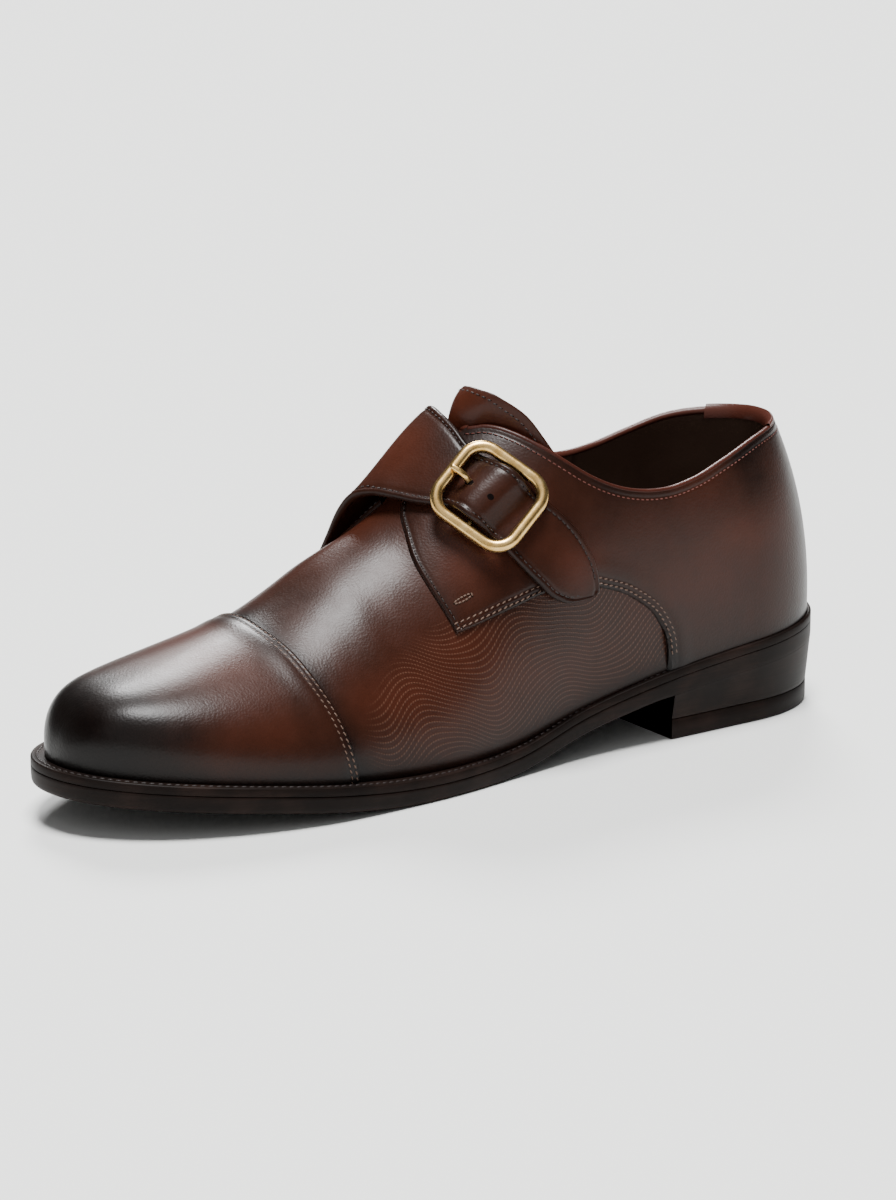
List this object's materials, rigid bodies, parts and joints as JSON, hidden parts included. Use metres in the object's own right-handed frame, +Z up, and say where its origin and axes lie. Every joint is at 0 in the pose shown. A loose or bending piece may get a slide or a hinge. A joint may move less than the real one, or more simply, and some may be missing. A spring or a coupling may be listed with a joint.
{
  "type": "monk_strap_shoe",
  "caption": "Left monk strap shoe in burnished brown calf with a toe cap, a strap over the instep fastened with a brass buckle, a welted leather sole and a stacked heel",
  "frame": {"origin": "on the floor under the middle of the shoe's bounding box", "axes": "+Z up, the toe towards -Y, the outer side of the foot towards +X"},
  "size_m": [0.101, 0.305, 0.1248],
  "materials": {
    "calf": "burnished reddish-brown calf, semi-gloss",
    "sole_edge": "near-black waxed edge",
    "insole_leather": "plain dark brown, matte",
    "buckle_brass": "brushed, slightly tarnished"
  },
  "bodies": {
    "root": {"outsole": "sole_edge", "welt": "sole_edge", "heel_stack": "sole_edge", "top_lift": "sole_edge", "insole": "insole_leather", "upper": "calf", "tongue": "calf", "back_strip": "calf", "monk_strap": "calf", "buckle_frame": "buckle_brass", "buckle_prong": "buckle_brass", "buckle_tab": "calf"}
  },
  "joints": []
}
